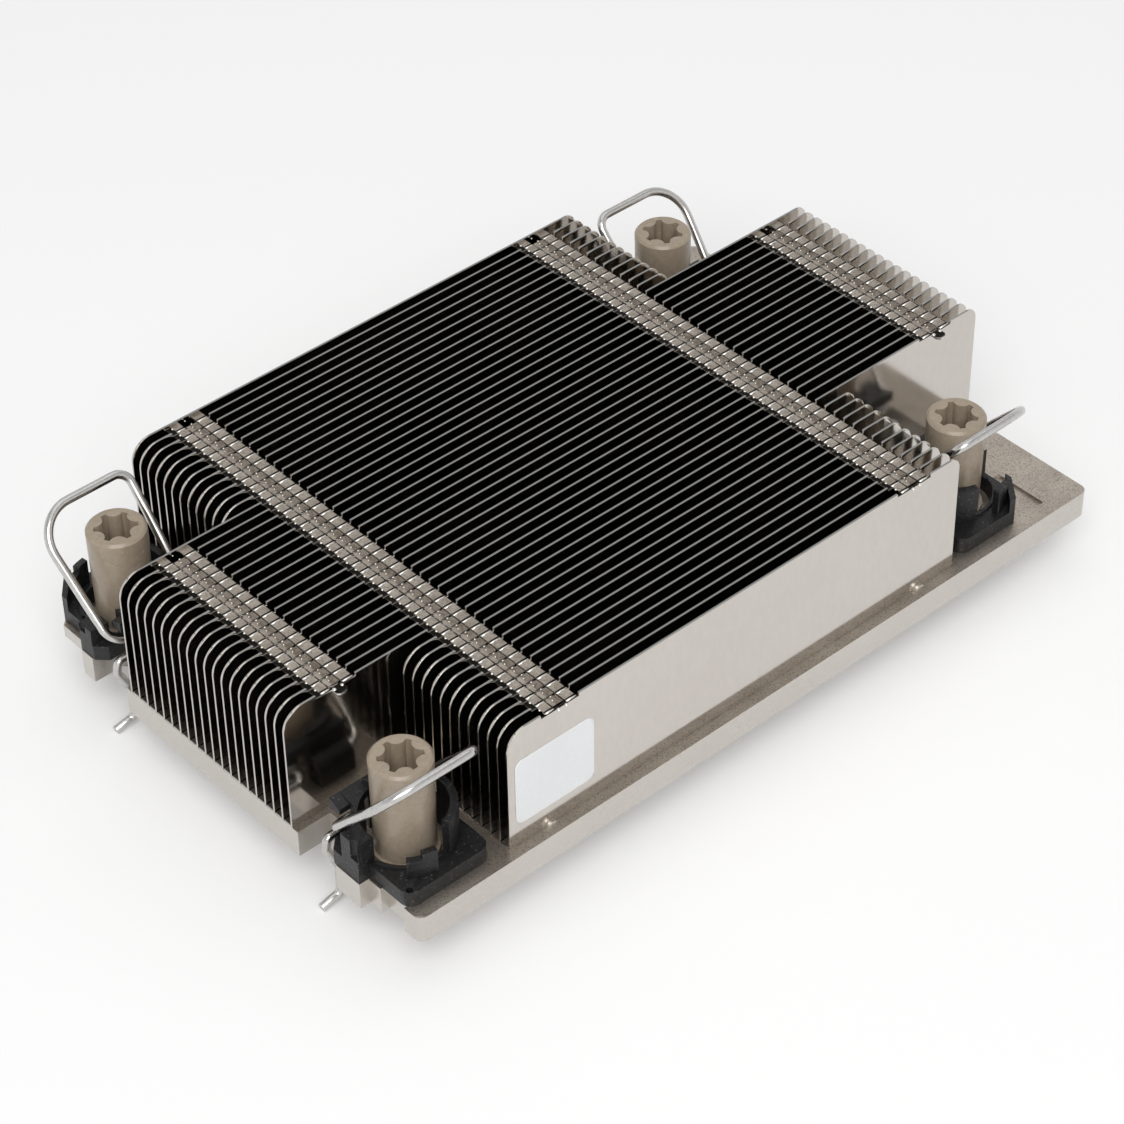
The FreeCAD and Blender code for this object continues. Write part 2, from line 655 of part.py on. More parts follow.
def latch_wire():
    axis_y, axis_z = place("wire_axis_y"), place("wire_axis_z")
    centre_x = place("nut_x")
    lean = math.radians(size("wire_lean"))

    def hang(dx, drop):
        return Vector(centre_x + dx, axis_y, axis_z - drop)

    def rise(dx, along):
        return Vector(centre_x + dx, axis_y - along * math.sin(lean), axis_z + along * math.cos(lean))

    shank, elbow, strand = size("wire_shank"), size("wire_elbow"), size("wire_strand")
    foot_drop, loop_length = size("wire_foot_drop"), size("wire_loop_length")
    left, right = size("wire_loop_left"), size("wire_loop_right")
    returned, turn = size("wire_return"), size("wire_return_bend")
    stops = [
        (hang(-size("wire_foot_reach"), foot_drop + size("wire_foot_rise")), 0),
        (hang(-shank, foot_drop), size("wire_foot_bend")),
        (hang(-shank, foot_drop - size("wire_shank_length")), size("wire_shank_bend")),
        (hang(-elbow, size("wire_elbow_drop")), size("wire_elbow_bend")),
        (hang(-size("wire_knee"), strand), size("wire_knee_bend")),
        (hang(-returned, strand), turn),
        (rise(-returned, strand), turn),
        (rise(-left, strand), size("wire_leg_bend")),
        (rise(-left - size("wire_loop_flare"), loop_length), size("wire_loop_big_bend")),
        (rise(right, loop_length), size("wire_loop_bend")),
        (rise(right, 0), size("wire_loop_bend")),
        (hang(-size("wire_end"), 0), 0),
    ]
    spine = rounded_path(stops)
    first = spine.Edges[0]
    tangent = first.tangentAt(first.FirstParameter)
    circle = Part.Circle(stops[0][0], tangent, size("wire_radius"))
    section = Part.Wire([circle.toShape()])
    solid = spine.makePipeShell([section], True, False)
    length = sum(edge.Length for edge in spine.Edges)
    area = math.pi * size("wire_radius") ** 2
    print("wire length %.2f mm, volume %.2f of %.2f mm3" % (length, solid.Volume, length * area))
    obj = doc.addObject("Part::Feature", "latch_wire")
    obj.Shape = solid
    return obj


def corner_sets():
    nut = load_nut()
    turned = FreeCAD.Placement(Vector(), FreeCAD.Rotation(Vector(0, 0, 1), 1))
    for side, y in (("front", "Places.nut_y"), ("back", "-Places.nut_y")):
        left = instance(nut, "load_nut_left_" + side)
        left.Placement = turned
        bind(left, Placement__Rotation__Angle="Sizes.nut_turn")
        move_to(left, ("Places.nut_x", y, "0"))
        move_to(instance(nut, "load_nut_right_" + side), ("Places.right_nut_x", y, "0"))

    # What is built at the front left is mirrored across the pattern's middle, along X, Y or both
    across, along = Vector(0, 1, 0), Vector(1, 0, 0)
    wire = node(latch_wire(), "latch_wire_left_front")
    mirrored(wire, "latch_wire_left_back", across)
    right_wire = mirrored(wire, "latch_wire_right_front", along, at="Places.pattern_centre")
    mirrored(right_wire, "latch_wire_right_back", across)

    pinhole_holder = node(nut_holder("pinhole_holder", False), "nut_holder_left_front")
    opposite = mirror(pinhole_holder, "pinhole_holder_opposite", across)
    mirrored(opposite, "nut_holder_right_back", along, at="Places.pattern_centre")
    cut_holder = nut_holder("cut_holder", True)
    mirrored(cut_holder, "nut_holder_left_back", across)
    mirrored(cut_holder, "nut_holder_right_front", along, at="Places.pattern_centre")


# Label: a blank white sticker on the outer face of the first fin
def label():
    blank = box("label_blank",
                ("Places.label_x", "Places.first_fin - Sizes.label_thickness", "Places.label_z"),
                ("Sizes.label_width", "Sizes.label_thickness", "Sizes.label_height"))
    doc.recompute()
    corners = edges_across(blank.Shape)
    node(round_edges("label", blank, dict.fromkeys(corners, size("label_corner_radius"))), "label")


base_plate()
fin_stack()
corner_sets()
label()
doc.recompute()

# Checks before anything is written
problems = []
for obj in doc.Objects:
    if any(word in state for state in obj.State for word in ("Invalid", "Error")):
        problems.append("%s: %s" % (obj.Name, obj.State))
for piece in nodes:
    if piece.Shape.isNull() or not piece.Shape.isValid():
        problems.append("%s: shape not valid" % piece.Label)
    elif len(piece.Shape.Solids) != 1:
        problems.append("%s: %d solids" % (piece.Label, len(piece.Shape.Solids)))
if problems:
    raise SystemExit("\n".join(problems))

os.makedirs("parts", exist_ok=True)
for piece in nodes:
    piece.Shape.exportStep(os.path.join("parts", piece.Label + ".step"))
print("%d pieces written" % len(nodes))
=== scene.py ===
import math

import bmesh
import bpy
from mathutils import Matrix, Vector


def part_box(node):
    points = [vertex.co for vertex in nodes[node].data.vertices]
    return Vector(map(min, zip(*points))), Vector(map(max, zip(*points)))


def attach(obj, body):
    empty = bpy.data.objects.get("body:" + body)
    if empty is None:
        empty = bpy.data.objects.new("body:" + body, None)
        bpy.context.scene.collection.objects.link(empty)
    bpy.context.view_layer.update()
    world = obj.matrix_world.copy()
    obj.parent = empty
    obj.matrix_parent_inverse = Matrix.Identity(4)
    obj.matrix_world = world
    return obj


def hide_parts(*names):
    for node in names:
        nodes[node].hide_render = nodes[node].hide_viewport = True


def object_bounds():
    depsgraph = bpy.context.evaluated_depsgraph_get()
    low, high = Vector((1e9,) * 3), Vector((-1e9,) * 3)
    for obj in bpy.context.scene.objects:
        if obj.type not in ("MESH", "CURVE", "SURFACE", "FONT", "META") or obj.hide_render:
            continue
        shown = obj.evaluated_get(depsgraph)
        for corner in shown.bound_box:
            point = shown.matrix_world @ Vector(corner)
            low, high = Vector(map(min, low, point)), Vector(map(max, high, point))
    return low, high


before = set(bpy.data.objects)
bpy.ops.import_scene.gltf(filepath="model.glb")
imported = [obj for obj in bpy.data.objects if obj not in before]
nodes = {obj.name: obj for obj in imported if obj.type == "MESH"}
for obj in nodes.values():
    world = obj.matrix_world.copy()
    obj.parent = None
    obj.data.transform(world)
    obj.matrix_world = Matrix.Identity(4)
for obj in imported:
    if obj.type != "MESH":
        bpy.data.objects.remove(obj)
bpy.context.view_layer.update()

MM = 0.001
CORNERS = [end + "_" + side for side in ("front", "back") for end in ("left", "right")]
FINS = sorted(name for name in nodes if name.startswith("fin_"))

# Fins: thin sheets with rounded top corners, which dip at the lock strips
FIN_GAUGE = 0.3 * MM
LEFT_RADIUS, RIGHT_RADIUS = 3.0 * MM, 1.8 * MM
FOOT_REACH = 1.3 * MM
TONGUE_REACH = 1.3 * MM
STRIP_DROP = 0.45 * MM

# Lock strips, in place from their left end: every fin's tabs fold forward, towards the fin in front.
# The solids' own tabs fold the other way and lie under these, so their tops are painted black as the shade of
# a gap.
STRIP_WIDTH = 5.7 * MM
SIDE_STRIP_INSET, END_STRIP_INSET = 8.35 * MM, 8.0 * MM
DIP_MARGIN = 0.15 * MM
TAB_LIFT = 0.05 * MM
TAB_GAUGE = 0.1 * MM
TAB_REACH = 1.02 * MM
BEND_RADIUS = 0.17 * MM
BEND_PLACE = 0.33 * MM
LEFT_TAB = (0.77 * MM, 2.05 * MM)
TONGUE = (2.25 * MM, 3.85 * MM)
RIGHT_TAB = (4.05 * MM, 5.55 * MM)
TONGUE_DROP = 0.02 * MM
TAB_TILT, RIDGE_TILT = 0.012, 0.004
ROLL_SHARE = 0.15

# Each burr's place, from the strip's left end, the fin's front and the tabs' top, and its stretch
BURR_RADIUS = 0.12 * MM
PUNCH_BURRS = (((0.7, -0.5, 0), (1.6, 1.6, 1.0)),
               ((3.15, 0.38, 0), (1.2, 1.0, 1.0)),
               ((2.9, -0.24, 0), (1.0, 1.0, 1.0)))
FRONT_HOOKS = (((2.5, -0.12, -0.12), (2.4, 2.6, 1.6)),
               ((3.7, -0.1, -0.12), (2.1, 2.3, 1.6)))

# Light: how bright the surroundings are as light, and as the metal mirrors them overhead
AMBIENT, CEILING = 0.42, 0.55
FLOOR_REACH, FLOOR_TONE, FLOOR_GLOW = 3.0, 0.86, 0.14

# Camera, found from the corners of the base, fins and nuts in the photograph
CAMERA_TURN, CAMERA_TILT, CAMERA_ROLL = -41.11, 40.84, -0.97
CAMERA_DISTANCE, CAMERA_SIDE, CAMERA_HEAD = 0.44826, -0.000867, 0.001019
FOCAL_PIXELS, PICTURE_PIXELS = 3391.2, 1124
SENSOR_WIDTH = 36.0

# What the frame says about the fins
side_low, side_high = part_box(FINS[0])
full_numbers = [number for number, name in enumerate(FINS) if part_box(name)[0].x < side_low.x - MM]
first_full, last_full, last_fin = full_numbers[0], full_numbers[-1], len(FINS) - 1
full_low, full_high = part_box(FINS[first_full])
first_wall = side_low.y + TONGUE_REACH
fin_pitch = (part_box(FINS[-1])[0].y - first_wall) / last_fin
fin_foot, fin_top = side_low.z, side_high.z
strip_top = fin_top - STRIP_DROP
tab_top = strip_top + TAB_LIFT


def wall_of(number):
    return first_wall + number * fin_pitch


def strips(full):
    """The left ends of the lock strips that a short or a full fin has, from left to right."""
    middles = [side_low.x + SIDE_STRIP_INSET, side_high.x - SIDE_STRIP_INSET]
    if full:
        middles += [full_low.x + END_STRIP_INSET, full_high.x - END_STRIP_INSET]
    return sorted(middle - STRIP_WIDTH / 2 for middle in middles)


# Node trees

def add_node(tree, kind, inputs=(), **settings):
    """A node with its settings and its inputs, each a value or the socket that feeds it."""
    made = tree.nodes.new(kind)
    for name, value in settings.items():
        setattr(made, name, value)
    for key, value in dict(inputs).items():
        feed(tree, made.inputs[key], value)
    return made


def feed(tree, socket, value):
    if isinstance(value, bpy.types.NodeSocket):
        tree.links.new(value, socket)
    else:
        socket.default_value = value


def maths(tree, operation, *values):
    made = add_node(tree, "ShaderNodeMath", operation=operation)
    for index, value in enumerate(values):
        feed(tree, made.inputs[index], value)
    return made.outputs[0]


def ramp(tree, value, low, high, out_low=0.0, out_high=1.0):
    """The value's range carried over to another range, and held inside it."""
    made = add_node(tree, "ShaderNodeMapRange", {"Value": value, "From Min": low, "From Max": high,
                                                 "To Min": out_low, "To Max": out_high})
    return made.outputs["Result"]


def band(tree, value, middle, reach, soft):
    """1 where the value is within reach of the middle, falling to 0 over the soft distance."""
    away = maths(tree, "ABSOLUTE", maths(tree, "SUBTRACT", value, middle))
    return ramp(tree, away, reach, reach + soft, 1.0, 0.0)


def mix_colour(tree, factor, first, second):
    made = add_node(tree, "ShaderNodeMix", data_type="RGBA")
    for key, value in (("Factor_Float", factor), ("A_Color", first), ("B_Color", second)):
        feed(tree, next(s for s in made.inputs if s.identifier == key), value)
    return next(s for s in made.outputs if s.identifier == "Result_Color")


def shader_group(name, inputs, outputs):
    """An empty node group with named float, colour or vector sockets."""
    kinds = {"value": "NodeSocketFloat", "colour": "NodeSocketColor", "vector": "NodeSocketVector"}
    tree = bpy.data.node_groups.new(name, "ShaderNodeTree")
    for label, kind, value in inputs:
        socket = tree.interface.new_socket(label, in_out="INPUT", socket_type=kinds[kind])
        socket.default_value = value
    for label, kind in outputs:
        tree.interface.new_socket(label, in_out="OUTPUT", socket_type=kinds[kind])
    return tree, tree.nodes.new("NodeGroupInput"), tree.nodes.new("NodeGroupOutput")


def socket_label(name):
    return name.replace("_", " ").capitalize()


def finish_group(tree, result, **outputs):
    for name, socket in outputs.items():
        tree.links.new(socket, result.inputs[socket_label(name)])
    return tree


def place_group(tree, group, **values):
    made = tree.nodes.new("ShaderNodeGroup")
    made.node_tree = group
    for name, value in values.items():
        feed(tree, made.inputs[socket_label(name)], value)
    return made


def object_place(tree):
    return add_node(tree, "ShaderNodeTexCoord").outputs["Object"]


def noise(tree, place, scale, detail=3.0, roughness=0.55):
    return add_node(tree, "ShaderNodeTexNoise", {"Vector": place, "Scale": scale, "Detail": detail,
                                                 "Roughness": roughness}).outputs["Fac"]


# Effects that several materials share: each group is built once and placed with its own values

def build_grain():
    """Fine grain of plated metal or moulded plastic: a mottled tone, uneven gloss and a relief."""
    tree, source, result = shader_group(
        "surface grain",
        [("Scale", "value", 900.0), ("Stretch", "vector", (1.0, 1.0, 1.0)), ("Blotch", "value", 70.0)],
        [("Tone", "value"), ("Gloss", "value"), ("Height", "value")])
    place = object_place(tree)
    stretched = add_node(tree, "ShaderNodeVectorMath", {0: place, 1: source.outputs["Stretch"]},
                         operation="MULTIPLY").outputs[0]
    fine = noise(tree, stretched, source.outputs["Scale"], 4.0, 0.65)
    broad = noise(tree, place, source.outputs["Blotch"])
    tone = maths(tree, "ADD", maths(tree, "MULTIPLY", fine, 0.6), maths(tree, "MULTIPLY", broad, 0.4))
    return finish_group(tree, result, tone=tone, height=fine, gloss=ramp(tree, broad, 0.3, 0.7, -1.0, 1.0))


def build_specks():
    """Small scattered spots, such as pits in plating or flecks of glass in plastic."""
    tree, source, result = shader_group(
        "specks", [("Scale", "value", 1200.0), ("Size", "value", 0.18), ("Share", "value", 0.3)],
        [("Mask", "value")])
    cells = add_node(tree, "ShaderNodeTexVoronoi", {"Vector": object_place(tree),
                                                    "Scale": source.outputs["Scale"]})
    spot = maths(tree, "LESS_THAN", cells.outputs["Distance"], source.outputs["Size"])
    chance = add_node(tree, "ShaderNodeSeparateColor", {"Color": cells.outputs["Color"]}).outputs["Red"]
    chosen = maths(tree, "LESS_THAN", chance, source.outputs["Share"])
    return finish_group(tree, result, mask=maths(tree, "MULTIPLY", spot, chosen))


def build_stain_and_shade():
    """A brown stain with painted shade round one height, with an uneven edge."""
    tree, source, result = shader_group(
        "stain_and_shade", [("Height", "value", 0.004), ("Reach", "value", 0.003), ("Scale", "value", 160.0)],
        [("Mask", "value")])
    place = object_place(tree)
    height = add_node(tree, "ShaderNodeSeparateXYZ", {0: place}).outputs["Z"]
    away = maths(tree, "ABSOLUTE", maths(tree, "SUBTRACT", height, source.outputs["Height"]))
    faded = ramp(tree, maths(tree, "DIVIDE", away, source.outputs["Reach"]), 0.0, 1.0, 1.0, 0.0)
    patches = ramp(tree, noise(tree, place, source.outputs["Scale"]), 0.3, 0.6, 0.35, 1.0)
    return finish_group(tree, result, mask=maths(tree, "MULTIPLY", faded, patches))


def build_facing():
    """How far the surface faces up, from 0 on a wall to 1 on a level face."""
    tree, source, result = shader_group("facing up", [("Level", "value", 0.6)], [("Up", "value")])
    normal = add_node(tree, "ShaderNodeTexCoord").outputs["Normal"]
    upward = add_node(tree, "ShaderNodeSeparateXYZ", {0: normal}).outputs["Z"]
    made = add_node(tree, "ShaderNodeMapRange", {"Value": upward, "From Min": source.outputs["Level"],
                                                 "From Max": 1.0})
    return finish_group(tree, result, up=made.outputs["Result"])


def build_lock_strip():
    """Masks over one lock strip: the worked half of the tongues, and each tab's tone, its own at random with
    painted shade darkening it towards its free end.
    """
    tree, source, result = shader_group(
        "lock strip", [("Start", "value", 0.0), ("Wall", "value", 0.0), ("Pitch", "value", 0.0017)],
        [("Worked", "value"), ("Tone", "value")])
    axes = add_node(tree, "ShaderNodeSeparateXYZ", {0: object_place(tree)})
    along = maths(tree, "SUBTRACT", axes.outputs["X"], source.outputs["Start"])
    behind = maths(tree, "SUBTRACT", axes.outputs["Y"], source.outputs["Wall"])
    rows = maths(tree, "DIVIDE", maths(tree, "SUBTRACT", behind, BEND_PLACE), source.outputs["Pitch"])
    inside = band(tree, along, STRIP_WIDTH / 2, STRIP_WIDTH / 2, 0.02 * MM)
    worked = band(tree, along, (TONGUE[0] + 2 * TONGUE[1]) / 3, 0.4 * MM, 0.25 * MM)
    columns = maths(tree, "FLOOR", maths(tree, "DIVIDE", along, TONGUE[0] - 0.05 * MM))
    key = maths(tree, "ADD", maths(tree, "FLOOR", rows), maths(tree, "MULTIPLY", columns, 57.3))
    chance = add_node(tree, "ShaderNodeTexWhiteNoise", {"W": key}, noise_dimensions="1D").outputs["Value"]
    # Painted shade: each tab is lighter at its bend and darker towards its free end
    shade_to_free_end = maths(tree, "FRACT", rows)
    tone = maths(tree, "ADD", maths(tree, "MULTIPLY", chance, 0.5), maths(tree, "MULTIPLY", shade_to_free_end, 0.5))
    return finish_group(tree, result, worked=maths(tree, "MULTIPLY", worked, inside),
                        tone=maths(tree, "MULTIPLY", tone, inside))


GRAIN = build_grain()
SPECKS = build_specks()
STAIN_AND_SHADE = build_stain_and_shade()
FACING = build_facing()
LOCK_STRIP = build_lock_strip()


# Materials

def new_material(name):
    material = bpy.data.materials.new(name)
    material.use_nodes = True
    tree = material.node_tree
    tree.nodes.clear()
    shader = tree.nodes.new("ShaderNodeBsdfPrincipled")
    output = tree.nodes.new("ShaderNodeOutputMaterial")
    tree.links.new(shader.outputs[0], output.inputs["Surface"])
    return material, tree, shader


def bump(tree, shader, height, strength):
    relief = add_node(tree, "ShaderNodeBump", {"Strength": strength, "Distance": 0.2 * MM, "Height": height})
    tree.links.new(relief.outputs["Normal"], shader.inputs["Normal"])


def two_tone(tree, grain, dark, light):
    return mix_colour(tree, ramp(tree, grain.outputs["Tone"], 0.38, 0.62), dark + (1,), light + (1,))


def uneven_gloss(tree, grain, gloss, spread):
    return maths(tree, "MULTIPLY_ADD", grain.outputs["Gloss"], spread, gloss)


def base_plating():
    """Nickel plating: milled on the sides; blasted, browner and duller on the top, whose colour is also
    painted darker there as shade.
    """
    material, tree, shader = new_material("base plating")
    shader.inputs["Metallic"].default_value = 1.0
    milled = place_group(tree, GRAIN, scale=1500.0, stretch=(1, 1, 4))
    blasted = place_group(tree, GRAIN, scale=4200.0, blotch=160.0)
    up = place_group(tree, FACING, level=0.6).outputs["Up"]
    # The top's colour is browner for its blasted finish and darker partly as painted shade
    colour = mix_colour(tree, up, two_tone(tree, milled, (0.56, 0.53, 0.49), (0.61, 0.58, 0.54)),
                        two_tone(tree, blasted, (0.37, 0.325, 0.28), (0.60, 0.54, 0.47)))
    pits = place_group(tree, SPECKS, scale=3600.0, size=0.36, share=0.4).outputs["Mask"]
    pitted = maths(tree, "MULTIPLY", pits, ramp(tree, up, 0.0, 1.0, 0.08, 0.55))
    colour = mix_colour(tree, pitted, colour, (0.14, 0.11, 0.085, 1))
    tree.links.new(colour, shader.inputs["Base Color"])
    rough = maths(tree, "MULTIPLY_ADD", up, 0.12, uneven_gloss(tree, milled, 0.28, 0.03))
    tree.links.new(rough, shader.inputs["Roughness"])
    bump(tree, shader, maths(tree, "MULTIPLY", blasted.outputs["Height"], up), 0.25)
    return material


def strip_masks(tree):
    """Each mask of the lock strip, taken over all four strips."""
    placed = [place_group(tree, LOCK_STRIP, start=start, wall=first_wall, pitch=fin_pitch)
              for start in strips(True)]
    masks = {}
    for name in ("Worked", "Tone"):
        joined = placed[0].outputs[name]
        for strip in placed[1:]:
            joined = maths(tree, "MAXIMUM", joined, strip.outputs[name])
        masks[name] = joined
    return masks


def fin_plating():
    """Thin rolled sheet, nearly a mirror: painted black as shade in the gaps of the lock strips, grey on the
    top edges.
    """
    material, tree, shader = new_material("fin plating")
    shader.inputs["Metallic"].default_value = 1.0
    grain = place_group(tree, GRAIN, scale=1400.0, stretch=(1, 1, 0.4), blotch=50.0)
    up = place_group(tree, FACING, level=0.5).outputs["Up"]
    height = add_node(tree, "ShaderNodeSeparateXYZ", {0: object_place(tree)}).outputs["Z"]
    gap_shade = maths(tree, "MULTIPLY", up, band(tree, height, strip_top, 0.02 * MM, 0.02 * MM))
    on_edge = maths(tree, "MULTIPLY", up, ramp(tree, height, fin_top - 0.03 * MM, fin_top - 0.02 * MM))
    sheet = two_tone(tree, grain, (0.575, 0.541, 0.501), (0.605, 0.572, 0.532))
    # Painted shade: level faces at the strips' height, under the folded tabs, are painted near black as the
    # gaps' shade
    colour = mix_colour(tree, gap_shade, sheet, (0.012, 0.010, 0.008, 1))
    colour = mix_colour(tree, on_edge, colour, (0.30, 0.295, 0.285, 1))
    # A brown stain round the fins' foot, with painted shade where they meet the base
    foot_stain_and_shade = place_group(tree, STAIN_AND_SHADE, height=4.0 * MM, reach=1.0 * MM, scale=220.0).outputs["Mask"]
    colour = mix_colour(tree, maths(tree, "MULTIPLY", foot_stain_and_shade, 0.3), colour, (0.20, 0.15, 0.11, 1))
    tree.links.new(colour, shader.inputs["Base Color"])
    rough = maths(tree, "MULTIPLY_ADD", up, 0.2, uneven_gloss(tree, grain, 0.12, 0.02))
    tree.links.new(rough, shader.inputs["Roughness"])
    return material


def pressed_tab():
    """Sheet marked by the press: mottled, each tab in its own tone and painted darker as shade towards its
    free end, the tongues partly worked dark.
    """
    material, tree, shader = new_material("pressed tab")
    shader.inputs["Metallic"].default_value = 1.0
    pressed = place_group(tree, GRAIN, scale=3000.0, blotch=900.0)
    masks = strip_masks(tree)
    colour = two_tone(tree, pressed, (0.30, 0.262, 0.22), (0.54, 0.485, 0.42))
    # Each tab's random tone, with painted shade towards its free end
    colour = mix_colour(tree, ramp(tree, masks["Tone"], 0.1, 0.9, 0.5, 0.0), colour, (0.26, 0.22, 0.185, 1))
    patches = ramp(tree, pressed.outputs["Tone"], 0.46, 0.54, 0.35, 1.0)
    colour = mix_colour(tree, maths(tree, "MULTIPLY", masks["Worked"], patches), colour,
                        (0.17, 0.14, 0.11, 1))
    tree.links.new(colour, shader.inputs["Base Color"])
    tree.links.new(uneven_gloss(tree, pressed, 0.30, 0.05), shader.inputs["Roughness"])
    bump(tree, shader, pressed.outputs["Height"], 0.4)
    return material


def drawn_wire():
    material, tree, shader = new_material("drawn wire")
    shader.inputs["Metallic"].default_value = 1.0
    grain = place_group(tree, GRAIN, scale=1900.0, blotch=120.0)
    colour = two_tone(tree, grain, (0.50, 0.49, 0.475), (0.61, 0.60, 0.585))
    marks = place_group(tree, SPECKS, scale=900.0, size=0.14, share=0.15).outputs["Mask"]
    colour = mix_colour(tree, maths(tree, "MULTIPLY", marks, 0.25), colour, (0.12, 0.11, 0.10, 1))
    tree.links.new(colour, shader.inputs["Base Color"])
    tree.links.new(uneven_gloss(tree, grain, 0.22, 0.05), shader.inputs["Roughness"])
    bump(tree, shader, grain.outputs["Height"], 0.04)
    return material


def bright_burr_and_highlight():
    """Freshly torn metal on the corners that the punch leaves; on the bends its bright colour is a painted
    highlight.
    """
    material, tree, shader = new_material("bright burr")
    shader.inputs["Metallic"].default_value = 1.0
    grain = place_group(tree, GRAIN, scale=2600.0, blotch=800.0)
    tree.links.new(two_tone(tree, grain, (0.66, 0.63, 0.58), (0.86, 0.84, 0.80)), shader.inputs["Base Color"])
    tree.links.new(uneven_gloss(tree, grain, 0.2, 0.06), shader.inputs["Roughness"])
    return material


def moulded(name, dark, light, gloss, fleck, fleck_share, scale, relief, shine=0.5):
    """Moulded plastic with flecks of its filler."""
    material, tree, shader = new_material(name)
    shader.inputs["Specular IOR Level"].default_value = shine
    grain = place_group(tree, GRAIN, scale=scale, blotch=110.0)
    flecks = place_group(tree, SPECKS, scale=2600.0, size=0.3, share=fleck_share).outputs["Mask"]
    colour = mix_colour(tree, maths(tree, "MULTIPLY", flecks, 0.5), two_tone(tree, grain, dark, light),
                        fleck + (1,))
    tree.links.new(colour, shader.inputs["Base Color"])
    rough = maths(tree, "MULTIPLY_ADD", flecks, -0.08, uneven_gloss(tree, grain, gloss, 0.05))
    tree.links.new(rough, shader.inputs["Roughness"])
    bump(tree, shader, grain.outputs["Height"], relief)
    return material


base_metal = base_plating()
fin_metal = fin_plating()
tab_metal = pressed_tab()
wire_metal = drawn_wire()
burr_and_highlight_metal = bright_burr_and_highlight()
nut_plastic = moulded("nut plastic", (0.315, 0.256, 0.19), (0.37, 0.305, 0.23), 0.28,
                      (0.50, 0.42, 0.32), 0.1, 1500.0, 0.05)
holder_plastic = moulded("holder plastic", (0.006, 0.006, 0.0065), (0.018, 0.018, 0.019), 0.38,
                         (0.12, 0.12, 0.125), 0.16, 2200.0, 0.5, 0.35)
label_film = moulded("label film", (0.80, 0.81, 0.82), (0.85, 0.86, 0.87), 0.42,
                     (0.74, 0.74, 0.74), 0.05, 3000.0, 0.02)


# Soft edges and finishes

def soften(piece, edge, angle=30, segments=2):
    """A rounding of this width on the sharp edges, with smooth shading between them."""
    bevel = piece.modifiers.new("bevel", "BEVEL")
    bevel.width = edge * MM
    bevel.segments = segments
    bevel.limit_method = "ANGLE"
    bevel.angle_limit = math.radians(angle)
    bevel.harden_normals = False
    piece.data.shade_smooth()
    piece.modifiers.new("normals", "WEIGHTED_NORMAL").keep_sharp = True


def dress(name, material, edge, angle=30, segments=2):
    """The solid keeps its shape and gets a finish and soft edges."""
    piece = nodes[name]
    piece.data.materials.clear()
    piece.data.materials.append(material)
    weld = piece.modifiers.new("weld", "WELD")
    weld.merge_threshold = 1e-6
    soften(piece, edge, angle, segments)


# Each solid's finish, and the width of its soft edges in millimetres
dress("base_plate", base_metal, 0.15)
for corner in CORNERS:
    dress("load_nut_" + corner, nut_plastic, 0.22, segments=3)
    dress("nut_holder_" + corner, holder_plastic, 0.15)
    dress("latch_wire_" + corner, wire_metal, 0.1, angle=50)
dress("label", label_film, 0.03)
for fin in FINS:
    dress(fin, fin_metal, 0.02, segments=1)


# Geometry Nodes

def geometry_tree(name, inputs):
    kinds = {"float": "NodeSocketFloat", "int": "NodeSocketInt", "material": "NodeSocketMaterial"}
    tree = bpy.data.node_groups.new(name, "GeometryNodeTree")
    tree.interface.new_socket("Geometry", in_out="INPUT", socket_type="NodeSocketGeometry")
    for label, kind, value in inputs:
        socket = tree.interface.new_socket(label, in_out="INPUT", socket_type=kinds[kind])
        if value is not None:
            socket.default_value = value
    tree.interface.new_socket("Geometry", in_out="OUTPUT", socket_type="NodeSocketGeometry")
    return tree, tree.nodes.new("NodeGroupInput"), tree.nodes.new("NodeGroupOutput")


def close_tree(tree, result, instances, finish, smooth):
    """The instances as one mesh, smooth or flat, with its finish, at the tree's output."""
    solid = add_node(tree, "GeometryNodeRealizeInstances", {0: instances})
    shaded = add_node(tree, "GeometryNodeSetShadeSmooth", {"Geometry": solid.outputs[0],
                                                           "Shade Smooth": smooth})
    finished = add_node(tree, "GeometryNodeSetMaterial", {"Geometry": shaded.outputs[0], "Material": finish})
    tree.links.new(finished.outputs[0], result.inputs[0])
    return tree


def made_by(name, mesh, tree, values):
    """An object with the tree's result as its own plain mesh."""
    piece = bpy.data.objects.new(name, mesh)
    bpy.context.scene.collection.objects.link(piece)
    modifier = piece.modifiers.new(tree.name, "NODES")
    modifier.node_group = tree
    sockets = {item.name: item.identifier for item in tree.interface.items_tree if item.in_out == "INPUT"}
    for label, value in values.items():
        modifier[sockets[label]] = value
    piece.data = bpy.data.meshes.new_from_object(piece.evaluated_get(bpy.context.evaluated_depsgraph_get()))
    piece.modifiers.clear()
    return piece


# Front fin: nothing stands in front of it, so its tongues don't reach out

def corner_arc(x, z, radius, start, end, steps=8):
    turns = [math.radians(start + (end - start) * step / steps) for step in range(steps + 1)]
    return [(x + radius * math.cos(turn), z + radius * math.sin(turn)) for turn in turns]


def fin_outline(left, right):
    """The sheet seen along Y: up the left side, over the dips and down the right side."""
    points = [(left, fin_foot)]
    points += corner_arc(left + LEFT_RADIUS, fin_top - LEFT_RADIUS, LEFT_RADIUS, 180, 90)
    for start in strips(False):
        dip_left, dip_right = start - DIP_MARGIN, start + STRIP_WIDTH + DIP_MARGIN
        points += [(dip_left, fin_top), (dip_left, strip_top), (dip_right, strip_top), (dip_right, fin_top)]
    points += corner_arc(right - RIGHT_RADIUS, fin_top - RIGHT_RADIUS, RIGHT_RADIUS, 90, 0)
    return points + [(right, fin_foot)]


